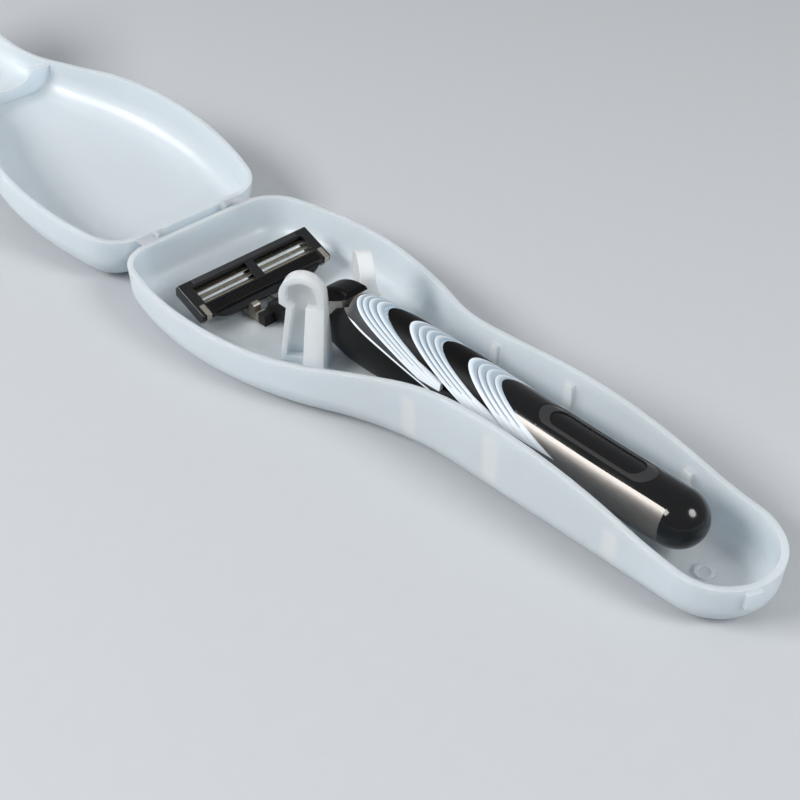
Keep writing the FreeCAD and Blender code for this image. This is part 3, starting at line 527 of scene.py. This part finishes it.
def spring_coil(name, node, run, turns, look):
    """Wound spring in place of a plain sleeve: a coil laid along the run through the middle of the sleeve,
    which is then hidden.
    """
    low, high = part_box(node)
    middle = (Vector(low) + Vector(high)) * 0.5
    fixed, moving = middle - run * 0.5, middle + run * 0.5
    along = run.normalized()
    side = along.orthogonal().normalized()
    other = along.cross(side)
    wire = look.spring_wire * 0.5
    count = turns * COIL_STEPS
    mesh = bmesh.new()
    rings = []
    for k in range(count + 1):
        angle = 2.0 * math.pi * k / COIL_STEPS
        outward = side * math.cos(angle) + other * math.sin(angle)
        place = fixed + along * (wire + (run.length - 2.0 * wire) * k / count) + outward * look.spring_radius
        ring = []
        for j in range(WIRE_SIDES):
            turn = 2.0 * math.pi * j / WIRE_SIDES
            ring.append(mesh.verts.new(place + (outward * math.cos(turn) + along * math.sin(turn)) * wire))
        rings.append(ring)
    for first, second in zip(rings, rings[1:]):
        for j in range(WIRE_SIDES):
            mesh.faces.new((first[j], first[j - 1], second[j - 1], second[j]))
    mesh.faces.new(rings[0])
    mesh.faces.new(rings[-1][::-1])
    bmesh.ops.recalc_face_normals(mesh, faces=mesh.faces)
    for face in mesh.faces:
        face.smooth = True
    data = bpy.data.meshes.new(name)
    mesh.to_mesh(data)
    mesh.free()
    coil = bpy.data.objects.new(name, data)
    bpy.context.scene.collection.objects.link(coil)
    coil.data.materials.append(bpy.data.materials["pin_metal"])
    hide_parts(node)
    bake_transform(coil)


class RAZORCASE_OT_case(bpy.types.Operator):
    """Frosted plastic on the tray and the lid"""

    bl_idname = "razorcase.case"
    bl_label = "Frosted tray and lid"

    def execute(self, context):
        look = context.scene.case_look
        tray_plastic(look).wear(("base_tray",))
        frosted_plastic("lid_plastic", look).wear(("lid",))
        return {"FINISHED"}


class RAZORCASE_OT_films(bpy.types.Operator):
    """Two moulded films that join the tray and the lid"""

    bl_idname = "razorcase.films"
    bl_label = "Hinge films"

    def execute(self, context):
        look = context.scene.case_look
        hinge_film("hinge_film_far", look.film_start, look)
        hinge_film("hinge_film_near", -look.film_start - look.film_width, look)
        return {"FINISHED"}


class RAZORCASE_OT_grip(bpy.types.Operator):
    """Pale bands, piping and dark pads of the grip"""

    bl_idname = "razorcase.grip"
    bl_label = "Grip"

    def execute(self, context):
        look = context.scene.razor_look
        for name in BANDS:
            band_grip(name, look).wear(("grip_fan_" + name,))
        pale_grip("pale_piping", look).wear(("piping_near", "piping_far"))
        matte("grip_pad", look.black, 0.36).wear(("grip_pad_front", "grip_pad_rear"))
        nose_finish(look).wear(("nose_cover",))
        return {"FINISHED"}


class RAZORCASE_OT_handle(bpy.types.Operator):
    """Rear casing, top strip, badge plate, tail and core of the handle"""

    bl_idname = "razorcase.handle"
    bl_label = "Handle"

    def execute(self, context):
        look = context.scene.razor_look
        gunmetal(look).wear(("side_shell",))
        gloss("top_cover", look.black, 0.08).wear(("top_cover", "end_cap"))
        badge_finish(look).wear(("badge_plate",))
        brushed("core_metal", CORE_TINT, 0.4, (0.05, 1.0, 1.0)).wear(("handle_core",))
        return {"FINISHED"}


class RAZORCASE_OT_neck(bpy.types.Operator):
    """Neck, release button, ejector, yoke, plunger and springs"""

    bl_idname = "razorcase.neck"
    bl_label = "Neck and button"

    def execute(self, context):
        look = context.scene.razor_look
        brushed("neck_metal", look.neck, 0.24, (0.08, 1.0, 1.0)).wear(("neck",))
        matte("button_black", look.black, 0.3).wear(("release_button",))
        yoke_finish(look).wear(("yoke",))
        matte("ejector_plastic", EJECTOR_TINT, 0.36).wear(("ejector",))
        brushed("pin_metal", PIN_TINT, 0.22, (0.08, 1.0, 1.0)).wear(
            ("plunger", "plunger_spring", "button_spring"))
        return {"FINISHED"}


class RAZORCASE_OT_springs(bpy.types.Operator):
    """Wound springs under the button and behind the plunger"""

    bl_idname = "razorcase.springs"
    bl_label = "Springs"

    def execute(self, context):
        look = context.scene.razor_look
        up_neck = Vector((math.cos(NECK_SLOPE), 0.0, math.sin(NECK_SLOPE)))
        spring_coil("button_coil", "button_spring", up_neck * BUTTON_SPRING_LENGTH,
                    BUTTON_SPRING_TURNS, look)
        forward = Vector((-1.0, 0.0, 0.0))
        spring_coil("plunger_coil", "plunger_spring", forward * PLUNGER_SPRING_LENGTH,
                    PLUNGER_SPRING_TURNS, look)
        return {"FINISHED"}


class RAZORCASE_OT_cartridge(bpy.types.Operator):
    """Cartridge frame, blades, clips, guard and strip"""

    bl_idname = "razorcase.cartridge"
    bl_label = "Cartridge"

    def execute(self, context):
        look = context.scene.razor_look
        gloss("cartridge_plastic", CARTRIDGE_TINT, 0.16).wear(("cartridge_housing",))
        blade_steel(look).wear(("blade_cap_side", "blade_middle", "blade_guard_side"))
        brushed("clip_metal", look.steel, 0.16, (1.0, 0.1, 1.0)).wear(("end_clip_near", "end_clip_far"))
        matte("guard_rubber", GUARD_TINT, 0.5).wear(("guard_fins",))
        matte("strip_plastic", LUBRICATING_TINT, 0.34).wear(("lubricating_strip",))
        return {"FINISHED"}


def soft_box(name, power, shape, size, place):
    """Flat lamp that looks at the middle of the object."""
    data = bpy.data.lights.new(name, "AREA")
    data.energy = power
    data.shape = shape
    data.size, data.size_y = size
    lamp = bpy.data.objects.new(name, data)
    bpy.context.scene.collection.objects.link(lamp)
    lamp.location = place
    lamp.rotation_mode = "QUATERNION"
    lamp.rotation_quaternion = (Vector(LAMP_AIM) - Vector(place)).to_track_quat("-Z", "Y")


class RAZORCASE_OT_stage(bpy.types.Operator):
    """Pale floor, soft lights and the camera"""

    bl_idname = "razorcase.stage"
    bl_label = "Stage"

    def execute(self, context):
        look = context.scene.stage_look
        scene = context.scene
        scene.view_settings.view_transform = "Standard"
        mesh = bmesh.new()
        bmesh.ops.create_grid(mesh, x_segments=8, y_segments=8, size=FLOOR_HALF)
        data = bpy.data.meshes.new("floor")
        mesh.to_mesh(data)
        mesh.free()
        floor = bpy.data.objects.new("floor", data)
        scene.collection.objects.link(floor)
        floor.location = (0.0, 0.0, -FLOOR_DROP)
        paint = Finish("floor", IOR=1.45)
        speckle = paint.noise(220.0, 3.0)
        paint.set("Base Color", paint.mix(speckle, rgba(look.floor, 0.985), rgba(look.floor, 1.015)))
        paint.set("Roughness", 0.5 + 0.1 * speckle)
        data.materials.append(paint.material)
        world = bpy.data.worlds.new("studio")
        world.use_nodes = True
        sky = world.node_tree.nodes["Background"]
        sky.inputs["Color"].default_value = rgba(SKY_TINT)
        sky.inputs["Strength"].default_value = look.sky
        scene.world = world
        soft_box("key", look.key, "RECTANGLE", KEY_SIZE, KEY_PLACE)
        soft_box("side", look.side, "ELLIPSE", SIDE_SIZE, SIDE_PLACE)
        data = bpy.data.cameras.new("camera")
        data.sensor_width = SENSOR_WIDTH
        data.lens = look.lens
        data.clip_start = 0.01
        data.clip_end = 20.0
        camera = bpy.data.objects.new("camera", data)
        scene.collection.objects.link(camera)
        back = Vector(CAMERA_BACK).normalized()
        right = Vector(CAMERA_RIGHT)
        right = (right - back * right.dot(back)).normalized()
        up = back.cross(right)
        turn = Matrix((right, up, back)).transposed()
        camera.matrix_world = Matrix.Translation(look.eye) @ turn.to_4x4()
        scene.camera = camera
        return {"FINISHED"}


class RAZORCASE_PT_panel(bpy.types.Panel):
    """Buttons for each group of pieces"""

    bl_idname = "RAZORCASE_PT_panel"
    bl_label = "Razor case"
    bl_space_type = "VIEW_3D"
    bl_region_type = "UI"
    bl_category = "Razor case"

    def draw(self, context):
        for step in STEPS:
            self.layout.operator(step.bl_idname)
        for group in (context.scene.case_look, context.scene.razor_look, context.scene.stage_look):
            for key in group.__annotations__:
                self.layout.prop(group, key)


STEPS = (
    RAZORCASE_OT_case,
    RAZORCASE_OT_films,
    RAZORCASE_OT_grip,
    RAZORCASE_OT_handle,
    RAZORCASE_OT_neck,
    RAZORCASE_OT_springs,
    RAZORCASE_OT_cartridge,
    RAZORCASE_OT_stage,
)
LOOKS = {"case_look": CaseLook, "razor_look": RazorLook, "stage_look": StageLook}
CLASSES = tuple(LOOKS.values()) + STEPS + (RAZORCASE_PT_panel,)


def register():
    """Add the classes and the looks."""
    for item in CLASSES:
        bpy.utils.register_class(item)
    for name, group in LOOKS.items():
        setattr(bpy.types.Scene, name, bpy.props.PointerProperty(type=group))


def unregister():
    """Take the looks and the classes away."""
    for name in LOOKS:
        delattr(bpy.types.Scene, name)
    for item in reversed(CLASSES):
        bpy.utils.unregister_class(item)


def main():
    """Dress the object step by step."""
    register()
    for step in STEPS:
        group, call = step.bl_idname.split(".")
        getattr(getattr(bpy.ops, group), call)()


if __name__ == "__main__":
    main()
